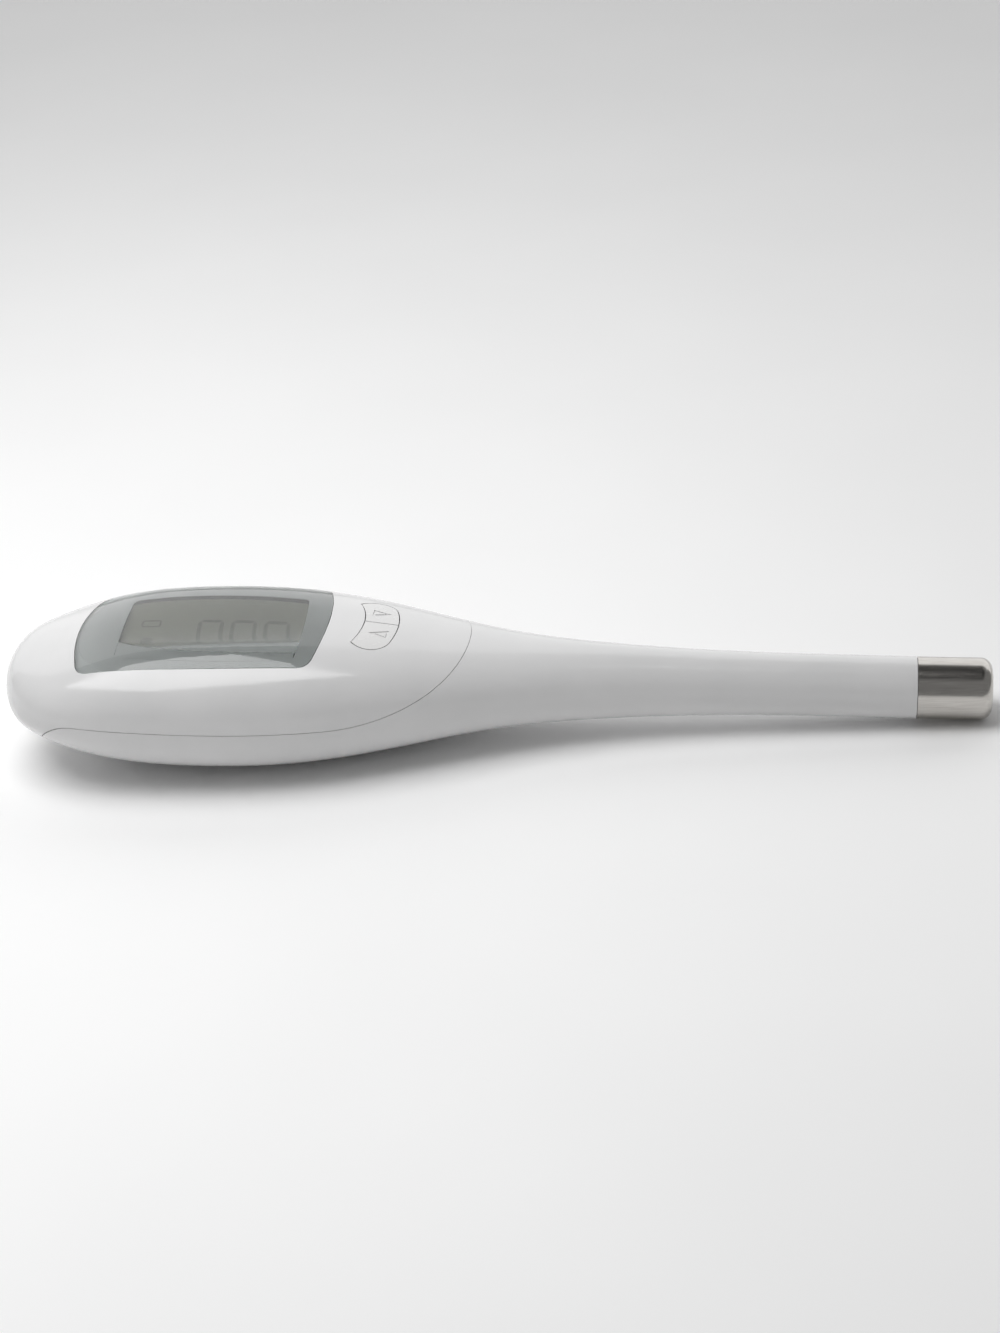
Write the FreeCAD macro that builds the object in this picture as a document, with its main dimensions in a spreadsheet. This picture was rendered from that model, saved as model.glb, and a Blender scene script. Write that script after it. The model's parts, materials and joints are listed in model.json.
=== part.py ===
"""Digital thermometer: a paddle-shaped head with a display and two buttons, and a long round probe.

Units are millimetres. Every piece is drawn in the design frame: x runs along the probe's axis from the
head's rounded end (0) to the metal tip, y is across, z is up from the axis. At the end each piece is given
the resting placement: the head's belly and the tip stand on z = 0, and the origin is below the middle.
"""
import FreeCAD
import Part
import Sketcher
import math
import os
from FreeCAD import Placement, Rotation, Vector

doc = FreeCAD.newDocument("digital_thermometer")
sheet = doc.addObject("Spreadsheet::Sheet", "sizes")

SIZES = {
    # whole object
    "overall_length": 135.0,
    "rest_tilt": 3.07,
    # probe and metal tip
    "probe_end": 124.9,
    "probe_radius": 4.2,
    "probe_bore_radius": 2.4,
    "probe_bore_length": 8.0,
    "spigot_length": 3.2,
    "spigot_clearance": 0.05,
    "tip_wall": 0.3,
    "tip_edge_radius": 1.6,
    "tip_seam": 0.1,
    # housing
    "cover_wall": 1.8,
    "body_wall": 1.5,
    "seam_height": 0.1,
    "seam_gap": 0.08,
    "nose_seam_x": 6.2,
    "nose_seam_radius": 6.0,
    "neck_seam_x": 46.0,
    "neck_seam_radius": 29.5,
    "neck_seam_sweep": 62.0,
    # display lens and its window
    "lens_left": 10.5,
    "lens_right": 45.6,
    "lens_half_width": 11.85,
    "lens_corner_left_x": 12.3,
    "lens_corner_right_x": 43.9,
    "lens_corner_half_width": 10.9,
    "lens_corner_radius": 2.2,
    "lens_low": 5.6,
    "lens_rim_thickness": 1.3,
    "lens_gap": 0.08,
    "border_thickness": 0.1,
    "adhesive_thickness": 0.1,
    "ledge_width": 1.5,
    "ledge_low": 4.75,
    "skirt_wall": 0.9,
    "window_left": 17.0,
    "window_right": 41.3,
    "window_half_width": 8.1,
    "window_side_bow": 0.8,
    "window_end_bow": 0.4,
    "window_corner_radius": 0.9,
    # display module
    "glass_left": 15.9,
    "glass_right": 42.7,
    "glass_half_width": 9.2,
    "display_top": 4.7,
    "polariser_thickness": 0.2,
    "glass_thickness": 0.7,
    "ledge_depth": 2.2,
    "gasket_width": 0.6,
    "holder_margin": 0.8,
    "holder_clearance": 0.1,
    "holder_floor": 0.6,
    "holder_wall_top": 3.9,
    "connector_width": 1.4,
    # circuit board
    "board_top": 2.0,
    "board_thickness": 0.8,
    "board_left": 8.4,
    "board_right": 59.0,
    "board_half_width": 12.4,
    "board_end_half_width": 8.2,
    "board_tail_half_width": 5.6,
    "board_shoulder_left": 13.6,
    "board_shoulder_right": 46.0,
    "boss_radius": 1.5,
    "boss_pilot_radius": 0.65,
    "boss_left_x": 10.0,
    "boss_left_y": 6.4,
    "boss_right_x": 47.4,
    "boss_right_y": 9.2,
    "screw_radius": 0.6,
    "screw_head_radius": 1.2,
    "screw_head_height": 0.8,
    "screw_length": 2.8,
    "screw_slot": 0.4,
    "screw_hole_radius": 0.75,
    "pilot_length": 3.2,
    # buttons and switches
    "button_left": 50.3,
    "button_right": 54.8,
    "button_horn_x": 49.1,
    "button_horn_y": 5.3,
    "button_side_x": 51.5,
    "button_side_y": 6.35,
    "button_shoulder_x": 54.2,
    "button_shoulder_y": 4.1,
    "button_gap": 0.14,
    "button_thickness": 1.7,
    "button_flange": 0.7,
    "button_flange_thickness": 0.6,
    "button_flange_gap": 0.1,
    "button_web_inset": 0.05,
    "mark_x": 52.4,
    "mark_y": 2.8,
    "mark_depth": 0.12,
    "mark_length": 2.7,
    "mark_half_width": 0.95,
    "mark_line": 0.3,
    "switch_x": 52.2,
    "switch_y": 3.0,
    "switch_side": 4.0,
    "switch_height": 1.5,
    "plunger_radius": 0.9,
    "plunger_clearance": 0.05,
    "plunger_proud": 0.7,
    "plunger_depth": 0.6,
    "plunger_bore_depth": 1.3,
    "stem_radius": 1.1,
    # battery compartment
    "battery_x": 29.0,
    "battery_radius": 10.0,
    "battery_height": 3.2,
    "battery_low": -6.0,
    "battery_edge": 0.4,
    "hatch_radius": 11.2,
    "hatch_gap": 0.1,
    "hatch_wall": 1.5,
    "hatch_rim": 1.5,
    "hatch_slot_length": 9.0,
    "hatch_slot_width": 1.8,
    "hatch_slot_depth": 0.8,
    "seal_height": -6.9,
    "seal_groove_radius": 0.45,
    "seal_groove_inset": 0.27,
    "seal_section_radius": 0.43,
    "seal_proud": 0.05,
    "well_wall": 1.3,
    "well_top": -4.5,
    # contacts
    "contact_thickness": 0.25,
    "contact_width": 4.0,
    "contact_gap": 0.06,
    "leaf_foot_x": 35.0,
    "leaf_knee_x": 37.0,
    "leaf_toe_x": 28.0,
    "leaf_tip_x": 25.0,
    "leaf_drop": 1.2,
    "strip_gap": 0.26,
    "strip_foot": 2.0,
    "strip_low": -5.5,
    # buzzer
    "buzzer_x": 51.0,
    "buzzer_radius": 6.0,
    "buzzer_low": -4.4,
    "buzzer_plate_thickness": 0.2,
    "ceramic_radius": 4.4,
    "ceramic_thickness": 0.2,
    "buzzer_rib": 0.9,
    "spring_radius": 0.8,
    "spring_wire": 0.2,
    "spring_offset": 5.0,
    # parts on the board
    "blob_x": 24.0,
    "blob_radius": 4.0,
    "blob_height": 1.1,
    "blob_edge": 1.0,
    "crystal_x": 52.5,
    "crystal_y": 8.0,
    "crystal_radius": 0.8,
    "crystal_length": 5.0,
    "chip_length": 1.6,
    "chip_width": 0.8,
    "chip_height": 0.6,
    "chip_first_x": 30.0,
    "chip_pitch": 3.2,
    "chip_row_y": 4.0,
    # sensor in the tip
    "bead_x": 132.4,
    "bead_radius": 0.8,
    "bead_length": 2.6,
    "lead_radius": 0.3,
    "lead_spread": 0.5,
    "lead_start_x": 57.0,
    "lead_start_y": 1.5,
    "lead_edge_x": 63.0,
    "lead_edge_y": 1.2,
    "lead_level_x": 76.0,
    "lead_level_z": 0.2,
    "lead_bend_radius": 8.0,
    "potting_start": 128.6,
}

# Control stations of the outer skin: (along, half width, half height, fullness, axis rise).
# Fullness is the exponent of the superelliptic section: 2 is an ellipse, more is squarer.
STATIONS = [
    (0.0, 0.0, 0.0, 2.2, -0.45),
    (0.0, 7.0, 4.8, 2.2, -0.45),
    (6.0, 14.6, 5.3, 2.4, -0.2),
    (16.0, 16.2, 9.0, 2.5, -0.15),
    (28.0, 16.9, 9.7, 2.5, 0.0),
    (42.0, 16.3, 9.6, 2.5, 0.2),
    (56.0, 12.5, 7.8, 2.4, 0.4),
    (68.0, 8.4, 5.7, 2.2, 0.3),
    (82.0, 5.2, 5.1, 2.1, 0.2),
    (100.0, 4.2, 4.2, 2.0, 0.2),
    (115.0, 4.2, 4.2, 2.0, 0.1),
    (124.9, 4.2, 4.2, 2.0, 0.0),
]
STATION_FIELDS = ("along", "half_width", "half_height", "fullness", "rise")
SECTION_POLES = 12
CHIP_COLUMNS = 3
SPRING_TURNS = 5
BEYOND = 40.0
TOUCHING = 1e-4


def fill_sheet():
    """Write the driving dimensions and the skin's stations into the spreadsheet, with aliases."""
    cells = dict(SIZES)
    for number, station in enumerate(STATIONS):
        for field, value in zip(STATION_FIELDS, station):
            cells["station_%s_%s" % (number, field)] = value
    for row, (alias, value) in enumerate(cells.items(), start=1):
        sheet.set("A%d" % row, alias)
        sheet.set("B%d" % row, str(value))
        sheet.setAlias("B%d" % row, alias)
    doc.recompute()


def size(alias):
    """Return one driving dimension from the spreadsheet."""
    return float(sheet.get(alias))


def value_of(expression):
    """Work out an expression in sheet aliases, as setExpression would."""
    return float(sheet.evalExpression(expression))


fill_sheet()


# ---------------------------------------------------------------- skin, outlines and prisms

def section_poles(station, inset):
    """Poles of one closed cubic section, passing through the station's half width and half height."""
    along, half_width, half_height, fullness, rise = station
    power = 2.0 / fullness
    step = 2.0 * math.pi / SECTION_POLES
    spread = 6.0 / (4.0 + 2.0 * math.cos(step) ** power)
    wide = max(half_width - inset, 0.0) * spread
    tall = max(half_height - inset, 0.0) * spread
    x = max(along, inset)
    poles = []
    for index in range(SECTION_POLES):
        angle = index * step - math.pi / 2.0
        across = math.copysign(abs(math.cos(angle)) ** power, math.cos(angle))
        up = math.copysign(abs(math.sin(angle)) ** power, math.sin(angle))
        poles.append(Vector(x, wide * across, rise + tall * up))
    return poles


def skin(inset):
    """Solid of the outer skin moved inwards by inset, closed by a rounded end and a flat probe end."""
    stations = [[size("station_%s_%s" % (number, field)) for field in STATION_FIELDS]
                for number in range(len(STATIONS))]
    poles = [section_poles(station, inset) for station in stations]
    spans = len(stations) - 3
    surface = Part.BSplineSurface()
    surface.buildFromPolesMultsKnots(
        poles,
        [4] + [1] * (spans - 1) + [4],
        [1] * (SECTION_POLES + 1),
        [float(knot) for knot in range(spans + 1)],
        [float(knot) for knot in range(SECTION_POLES + 1)],
        False, True, 3, 3)
    side = surface.toShape()
    end_edge = max(side.Edges, key=lambda edge: edge.BoundBox.XMin)
    end_face = Part.Face(Part.Wire([end_edge]))
    shell = Part.makeShell([side, end_face])
    shell.sewShape()
    solid = Part.makeSolid(shell)
    if solid.Volume < 0:
        solid.reverse()
    return solid


def prism(wire, low, high):
    """Solid standing on a flat outline drawn at z = 0, from low to high."""
    face = Part.Face(wire)
    face.translate(Vector(0, 0, low))
    return face.extrude(Vector(0, 0, high - low))


def arc(first, middle, last):
    """Edge through three points of the plane z = 0."""
    points = [Vector(x, y, 0) for x, y in (first, middle, last)]
    return Part.Arc(*points).toShape()


def rounded(wire, radius):
    """Round the corners of a flat four-sided outline."""
    block = prism(wire, 0, radius)
    upright = [edge for edge in block.Edges if edge.BoundBox.ZLength > radius / 2.0]
    block = block.makeFillet(radius, upright)
    base = min(block.Faces, key=lambda face: face.CenterOfMass.z)
    return base.OuterWire


def lens_outline(margin=0.0):
    """Outline of the display lens, moved outwards by margin: four bowed sides, rounded corners."""
    left, right = size("lens_left") - margin, size("lens_right") + margin
    corner_left, corner_right = size("lens_corner_left_x") - margin, size("lens_corner_right_x") + margin
    corner_y, side_y = size("lens_corner_half_width") + margin, size("lens_half_width") + margin
    middle = (corner_left + corner_right) / 2.0
    edges = [
        arc((corner_left, -corner_y), (middle, -side_y), (corner_right, -corner_y)),
        arc((corner_right, -corner_y), (right, 0), (corner_right, corner_y)),
        arc((corner_right, corner_y), (middle, side_y), (corner_left, corner_y)),
        arc((corner_left, corner_y), (left, 0), (corner_left, -corner_y)),
    ]
    return rounded(Part.Wire(edges), size("lens_corner_radius") + margin)


def window_outline(margin=0.0):
    """Outline of the clear window, moved outwards by margin: straight at the left, bowed elsewhere."""
    left, right = size("window_left") - margin, size("window_right") + margin
    side_y = size("window_half_width") + margin
    corner_y = side_y - size("window_side_bow")
    middle = (left + right) / 2.0
    edges = [
        arc((left, -corner_y), (middle, -side_y), (right, -corner_y)),
        arc((right, -corner_y), (right + size("window_end_bow"), 0), (right, corner_y)),
        arc((right, corner_y), (middle, side_y), (left, corner_y)),
        Part.makeLine(Vector(left, corner_y, 0), Vector(left, -corner_y, 0)),
    ]
    return rounded(Part.Wire(edges), size("window_corner_radius") + margin)


def button_pair_outline(margin=0.0):
    """Outline of the two buttons, moved outwards by margin: concave towards the display."""
    slanted = margin / math.sqrt(2.0)
    horn = (size("button_horn_x") - margin, size("button_horn_y") + margin)
    side = (size("button_side_x"), size("button_side_y") + margin)
    shoulder = (size("button_shoulder_x") + slanted, size("button_shoulder_y") + slanted)

    def mirrored(point):
        return (point[0], -point[1])

    edges = [
        arc(mirrored(horn), mirrored(side), mirrored(shoulder)),
        arc(mirrored(shoulder), (size("button_right") + margin, 0), shoulder),
        arc(shoulder, side, horn),
        arc(horn, (size("button_left") - margin, 0), mirrored(horn)),
    ]
    return Part.Wire(edges)


def seam_profile(gap):
    """Side outline of everything above the housing's seam, drawn in the xz plane, moved up by gap."""
    nose_x, nose_radius = size("nose_seam_x") - gap, size("nose_seam_radius")
    height = size("seam_height") + gap
    neck_x, neck_radius = size("neck_seam_x"), size("neck_seam_radius") - gap
    sweep = math.radians(size("neck_seam_sweep"))
    quarter = math.pi / 4.0
    nose_centre = (nose_x + nose_radius, height - nose_radius)
    neck_centre = (neck_x, height + neck_radius)

    def point(x, z):
        return Vector(x, 0, z)

    def on_neck(angle):
        return point(neck_centre[0] + neck_radius * math.sin(angle),
                     neck_centre[1] - neck_radius * math.cos(angle))

    nose_low = point(nose_x, nose_centre[1])
    nose_middle = point(nose_centre[0] - nose_radius * math.cos(quarter),
                        nose_centre[1] + nose_radius * math.sin(quarter))
    nose_high = point(nose_centre[0], height)
    neck_low = point(neck_x, height)
    neck_high = on_neck(sweep)
    corners = [neck_high, point(neck_high.x, BEYOND), point(-BEYOND, BEYOND), point(-BEYOND, -BEYOND),
               point(nose_x, -BEYOND), nose_low]
    edges = [Part.makeLine(start, end) for start, end in zip(corners, corners[1:])]
    edges.append(Part.Arc(nose_low, nose_middle, nose_high).toShape())
    edges.append(Part.makeLine(nose_high, neck_low))
    edges.append(Part.Arc(neck_low, on_neck(sweep / 2.0), neck_high).toShape())
    return Part.Wire(edges)


def above_seam(gap):
    """Everything above the housing's seam, as a block across the whole width."""
    face = Part.Face(seam_profile(gap))
    face.translate(Vector(0, -BEYOND, 0))
    return face.extrude(Vector(0, 2.0 * BEYOND, 0))


def upright_cylinder(radius, x, y, low, high):
    """Cylinder standing between two heights."""
    return Part.makeCylinder(radius, high - low, Vector(x, y, low))


# ---------------------------------------------------------------- document objects

def keep_shape(name, shape):
    """Add a sub-part whose shape follows the sculpted skin."""
    feature = doc.addObject("Part::Feature", name)
    feature.Label = name
    feature.Shape = shape
    return feature


def new_body(name):
    """Add an empty PartDesign body for one sub-part."""
    body = doc.addObject("PartDesign::Body", name)
    body.Label = name
    return body


def new_sketch(body, suffix, role, raised="0"):
    """Add a sketch on one of the body's own origin planes, raised by an expression."""
    sketch = body.newObject("Sketcher::SketchObject", body.Name + "_" + suffix)
    plane = next(item for item in body.Origin.OriginFeatures if item.Role == role)
    sketch.AttachmentSupport = (plane, "")
    sketch.MapMode = "FlatFace"
    sketch.setExpression("AttachmentOffset.Base.z", raised)
    return sketch


def add_polygon(sketch, points):
    """Draw a closed outline through corners given as pairs of expressions."""
    first = sketch.GeometryCount
    places = [Vector(value_of(x), value_of(y), 0) for x, y in points]
    count = len(places)
    for index in range(count):
        sketch.addGeometry(Part.LineSegment(places[index], places[(index + 1) % count]), False)
    for index in range(count):
        this, following = first + index, first + (index + 1) % count
        sketch.addConstraint(Sketcher.Constraint("Coincident", this, 2, following, 1))
    for index, (x, y) in enumerate(points):
        for kind, expression, place in (("DistanceX", x, places[index].x), ("DistanceY", y, places[index].y)):
            number = sketch.addConstraint(Sketcher.Constraint(kind, -1, 1, first + index, 1, place))
            sketch.setExpression("Constraints[%d]" % number, expression)


def add_rectangle(sketch, left, right, low, high):
    """Draw a rectangle between four expressions."""
    add_polygon(sketch, [(left, low), (right, low), (right, high), (left, high)])


def add_circle(sketch, x, y, radius):
    """Draw a circle with its centre and radius given as expressions."""
    centre = Vector(value_of(x), value_of(y), 0)
    index = sketch.addGeometry(Part.Circle(centre, Vector(0, 0, 1), value_of(radius)), False)
    for kind, expression, place in (("DistanceX", x, centre.x), ("DistanceY", y, centre.y)):
        number = sketch.addConstraint(Sketcher.Constraint(kind, -1, 1, index, 3, place))
        sketch.setExpression("Constraints[%d]" % number, expression)
    number = sketch.addConstraint(Sketcher.Constraint("Radius", index, value_of(radius)))
    sketch.setExpression("Constraints[%d]" % number, radius)


def pad(body, sketch, length):
    """Pad a sketch along its own normal."""
    feature = body.newObject("PartDesign::Pad", sketch.Name + "_pad")
    feature.Profile = sketch
    feature.setExpression("Length", length)
    sketch.Visibility = False
    doc.recompute()
    return feature


def pocket(body, sketch, depth, upwards):
    """Cut a sketch out of the body, and make sure that it does cut."""
    before = body.Shape.Volume
    feature = body.newObject("PartDesign::Pocket", sketch.Name + "_pocket")
    feature.Profile = sketch
    feature.setExpression("Length", depth)
    feature.Reversed = upwards
    doc.recompute()
    if body.Shape.Volume > before - TOUCHING:
        raise RuntimeError("%s cuts nothing" % feature.Name)
    return feature


def plate(name, draw, low, high):
    """Sub-part of constant thickness between two heights; draw(sketch) draws its outline."""
    body = new_body(name)
    sketch = new_sketch(body, "outline", "XY_Plane", low)
    draw(sketch)
    pad(body, sketch, "(%s) - (%s)" % (high, low))
    return body


def disc(name, x, y, radius, low, high):
    """Round sub-part standing between two heights."""
    return plate(name, lambda sketch: add_circle(sketch, x, y, radius), low, high)


def turned(name, corners):
    """Sub-part turned about the x axis, from corners (along, radius) given as expressions."""
    body = new_body(name)
    sketch = new_sketch(body, "profile", "XY_Plane")
    add_polygon(sketch, corners)
    feature = body.newObject("PartDesign::Revolution", name + "_turned")
    feature.Profile = sketch
    feature.ReferenceAxis = (sketch, ["H_Axis"])
    feature.Angle = 360.0
    doc.recompute()
    return body


def round_edges(body, base, edges, radius):
    """Fillet the named edges of the body's latest feature."""
    fillet = body.newObject("PartDesign::Fillet", body.Name + "_fillet")
    fillet.Base = (base, edges)
    fillet.setExpression("Radius", radius)
    doc.recompute()
    return fillet


def edges_where(feature, test):
    """Names of a feature's edges that pass a test."""
    return ["Edge%d" % number for number, edge in enumerate(feature.Shape.Edges, start=1) if test(edge)]


def primitive(kind, name, place, **dimensions):
    """Add a Part primitive at a place, with its place and dimensions given as expressions."""
    item = doc.addObject(kind, name)
    for dimension, expression in dimensions.items():
        item.setExpression(dimension, expression)
    for axis, expression in zip("xyz", place):
        item.setExpression("Placement.Base.%s" % axis, expression)
    doc.recompute()
    return item


def combined(kind, name, items):
    """Fuse or intersect document objects."""
    result = doc.addObject(kind, name)
    result.Shapes = items
    doc.recompute()
    return result


def cut_from(name, base, tool):
    """Cut one document object from another."""
    result = doc.addObject("Part::Cut", name)
    result.Base = base
    result.Tool = tool
    doc.recompute()
    return result


def gathered(name, items):
    """Keep identical sub-parts together as one sub-part of several solids."""
    result = doc.addObject("Part::Compound", name)
    result.Links = items
    doc.recompute()
    return result


# ---------------------------------------------------------------- housing

def boss_places():
    """Centres of the four screw bosses."""
    left = (size("boss_left_x"), size("boss_left_y"))
    right = (size("boss_right_x"), size("boss_right_y"))
    return [(x, side * y) for x, y in (left, right) for side in (-1, 1)]


def under_lens(depth):
    """Everything that lies deeper than depth below the lens: a flat floor, lower near the thin rim."""
    floor = size("lens_low") - depth
    below = Part.makeBox(4.0 * BEYOND, 2.0 * BEYOND, BEYOND + floor, Vector(-BEYOND, -BEYOND, -BEYOND))
    return skin(size("lens_rim_thickness") + depth).common(below)


def lens_ledge_depth():
    """Depth of the cover's ledge below the lens: the printed border and the tape."""
    return size("border_thickness") + size("adhesive_thickness")


def upper_cover():
    """Cover shell, wrapped round the head's end, with its lens recess, button opening and bosses."""
    wall = size("cover_wall")
    shell = skin(0).common(above_seam(0)).cut(skin(wall))
    skirt = prism(lens_outline(size("skirt_wall")), size("ledge_low"), BEYOND).common(skin(wall / 2.0))
    recess = prism(lens_outline(), 0, BEYOND).cut(under_lens(lens_ledge_depth()))
    opening = prism(lens_outline(-size("ledge_width")), 0, BEYOND)
    buttons = prism(button_pair_outline(size("button_gap")), 0, BEYOND)
    cover = shell.fuse(skirt).cut([recess, opening, buttons])
    under_recess = skin((size("lens_rim_thickness") + lens_ledge_depth() + wall) / 2.0)
    for x, y in boss_places():
        boss = upright_cylinder(size("boss_radius"), x, y, size("board_top"), BEYOND).common(under_recess)
        pilot_top = size("board_top") + size("pilot_length")
        pilot = upright_cylinder(size("boss_pilot_radius"), x, y, 0, pilot_top)
        cover = cover.fuse(boss).cut(pilot)
    return keep_shape("upper_cover", cover.removeSplitter())


def lower_body():
    """Lower shell and probe tube in one piece, with the battery well and the spigot for the tip."""
    wall = size("body_wall")
    end, along = size("probe_end"), Vector(1, 0, 0)
    bore_start = end - size("probe_bore_length")
    before_bore = Part.makeBox(bore_start + BEYOND, 2.0 * BEYOND, 2.0 * BEYOND,
                               Vector(-BEYOND, -BEYOND, -BEYOND))
    shell = skin(0).cut(above_seam(-size("seam_gap"))).cut(skin(wall).common(before_bore))
    well_radius = size("hatch_radius") + size("hatch_gap")
    well_x = size("battery_x")
    well = upright_cylinder(well_radius + size("well_wall"), well_x, 0, -BEYOND, size("well_top"))
    well = well.common(skin(wall / 2.0))
    rib_x, rib_radius, rib_top = size("buzzer_x"), size("buzzer_radius"), size("buzzer_low")
    rib = upright_cylinder(rib_radius, rib_x, 0, -BEYOND, rib_top)
    rib = rib.cut(upright_cylinder(rib_radius - size("buzzer_rib"), rib_x, 0, -BEYOND, rib_top))
    rib = rib.common(skin(wall / 2.0))
    spigot_radius = size("probe_radius") - size("tip_wall") - size("spigot_clearance")
    overlap = size("spigot_length")
    spigot = Part.makeCylinder(spigot_radius, 2.0 * overlap, Vector(end - overlap, 0, 0), along)
    bore_length = size("probe_bore_length") + 2.0 * overlap
    bore = Part.makeCylinder(size("probe_bore_radius"), bore_length, Vector(bore_start, 0, 0), along)
    battery_opening = upright_cylinder(well_radius, well_x, 0, -BEYOND, 0)
    body = shell.fuse([well, rib, spigot]).cut([bore, battery_opening])
    return keep_shape("lower_body", body.removeSplitter())


def lens_column():
    """Upright column through everything that belongs to the lens."""
    return prism(lens_outline(-size("lens_gap")), 0, BEYOND)


def display_lens():
    """Clear lens: flush with the cover, flat underneath, with a thin rim where the head slopes down."""
    return keep_shape("display_lens", lens_column().common(skin(0)).cut(under_lens(0)))


def lens_border():
    """Grey frame printed on the lens's underside, with the clear window left open."""
    film = lens_column().common(under_lens(0)).cut(under_lens(size("border_thickness")))
    return keep_shape("lens_border", film.cut(prism(window_outline(), 0, BEYOND)))


def lens_adhesive():
    """Ring of adhesive tape between the printed frame and the cover's ledge."""
    ring = lens_column().common(under_lens(size("border_thickness"))).cut(under_lens(lens_ledge_depth()))
    return keep_shape("lens_adhesive", ring.cut(prism(lens_outline(-size("ledge_width")), 0, BEYOND)))


# ---------------------------------------------------------------- display module

def display_gasket():
    """Foam frame between the display glass and the printed frame of the lens."""
    top = size("lens_low") - size("border_thickness")
    outer = prism(window_outline(size("gasket_width")), size("display_top"), top)
    return keep_shape("display_gasket", outer.cut(prism(window_outline(), 0, BEYOND)))


def glass_plate(name, near_edge, low, high):
    """One flat layer of the display module, from near_edge across to the far side."""
    def draw(sketch):
        add_rectangle(sketch, "sizes.glass_left", "sizes.glass_right", near_edge, "sizes.glass_half_width")
    return plate(name, draw, low, high)


def display_layers():
    """Polariser, two glasses and reflector of the display; the front glass carries the contact ledge."""
    full = "-sizes.glass_half_width"
    ledge = "-sizes.glass_half_width + sizes.ledge_depth"
    front_top = "sizes.display_top - sizes.polariser_thickness"
    rear_top = front_top + " - sizes.glass_thickness"
    reflector_top = rear_top + " - sizes.glass_thickness"
    return [
        glass_plate("lcd_polariser", ledge, front_top, "sizes.display_top"),
        glass_plate("lcd_front_glass", full, rear_top, front_top),
        glass_plate("lcd_rear_glass", ledge, reflector_top, rear_top),
        glass_plate("lcd_reflector", ledge, reflector_top + " - sizes.polariser_thickness", reflector_top),
    ]


def holder_top():
    """Height of the holder's floor, where the display module sits, as an expression."""
    return "sizes.display_top - 2 * sizes.polariser_thickness - 2 * sizes.glass_thickness"


def connector_edges():
    """Near and far edges of the elastomer connector, as expressions."""
    near = "-sizes.glass_half_width + (sizes.ledge_depth - sizes.connector_width) / 2"
    return near, near + " + sizes.connector_width"


def lcd_holder():
    """Tray round the display module, with a slot for the connector, standing on the board."""
    body = new_body("lcd_holder")
    margin = "sizes.holder_margin + sizes.holder_clearance"
    outside = new_sketch(body, "outside", "XY_Plane", "sizes.board_top")
    add_rectangle(outside, "sizes.glass_left - " + margin, "sizes.glass_right + " + margin,
                  "-sizes.glass_half_width - " + margin, "sizes.glass_half_width + " + margin)
    pad(body, outside, "sizes.holder_wall_top - sizes.board_top")
    inside = new_sketch(body, "inside", "XY_Plane", "sizes.holder_wall_top")
    clearance = "sizes.holder_clearance"
    add_rectangle(inside, "sizes.glass_left - " + clearance, "sizes.glass_right + " + clearance,
                  "-sizes.glass_half_width - " + clearance, "sizes.glass_half_width + " + clearance)
    pocket(body, inside, "sizes.holder_wall_top - (%s)" % holder_top(), False)
    near, far = connector_edges()
    slot = new_sketch(body, "slot", "XY_Plane", "sizes.board_top")
    add_rectangle(slot, "sizes.glass_left", "sizes.glass_right",
                  near + " - " + clearance, far + " + " + clearance)
    pocket(body, slot, "sizes.holder_wall_top - sizes.board_top", True)
    hollow = new_sketch(body, "hollow", "XY_Plane", "sizes.board_top")
    add_rectangle(hollow, "sizes.glass_left + sizes.holder_margin", "sizes.glass_right - sizes.holder_margin",
                  far + " + sizes.holder_margin", "sizes.glass_half_width - sizes.holder_margin")
    pocket(body, hollow, "%s - sizes.holder_floor - sizes.board_top" % holder_top(), True)
    return body


def lcd_connector():
    """Elastomer strip that joins the display's contact ledge to the board."""
    near, far = connector_edges()

    def draw(sketch):
        add_rectangle(sketch, "sizes.glass_left + sizes.holder_clearance",
                      "sizes.glass_right - sizes.holder_clearance", near, far)
    return plate("lcd_connector", draw, "sizes.board_top",
                 "sizes.display_top - sizes.polariser_thickness - sizes.glass_thickness")


# ---------------------------------------------------------------- circuit board

def main_board():
    """Circuit board with shaped ends and four screw holes."""
    body = new_body("main_board")
    sketch = new_sketch(body, "outline", "XY_Plane", "sizes.board_top - sizes.board_thickness")
    far_side = [("sizes.board_right", "sizes.board_tail_half_width"),
                ("sizes.board_shoulder_right", "sizes.board_half_width"),
                ("sizes.board_shoulder_left", "sizes.board_half_width"),
                ("sizes.board_left", "sizes.board_end_half_width")]
    near_side = [(x, "-" + y) for x, y in reversed(far_side)]
    add_polygon(sketch, far_side + near_side)
    pad(body, sketch, "sizes.board_thickness")
    holes = new_sketch(body, "holes", "XY_Plane", "sizes.board_top")
    for side in ("", "-"):
        add_circle(holes, "sizes.boss_left_x", side + "sizes.boss_left_y", "sizes.screw_hole_radius")
        add_circle(holes, "sizes.boss_right_x", side + "sizes.boss_right_y", "sizes.screw_hole_radius")
    pocket(body, holes, "sizes.board_thickness", False)
    return body


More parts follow.
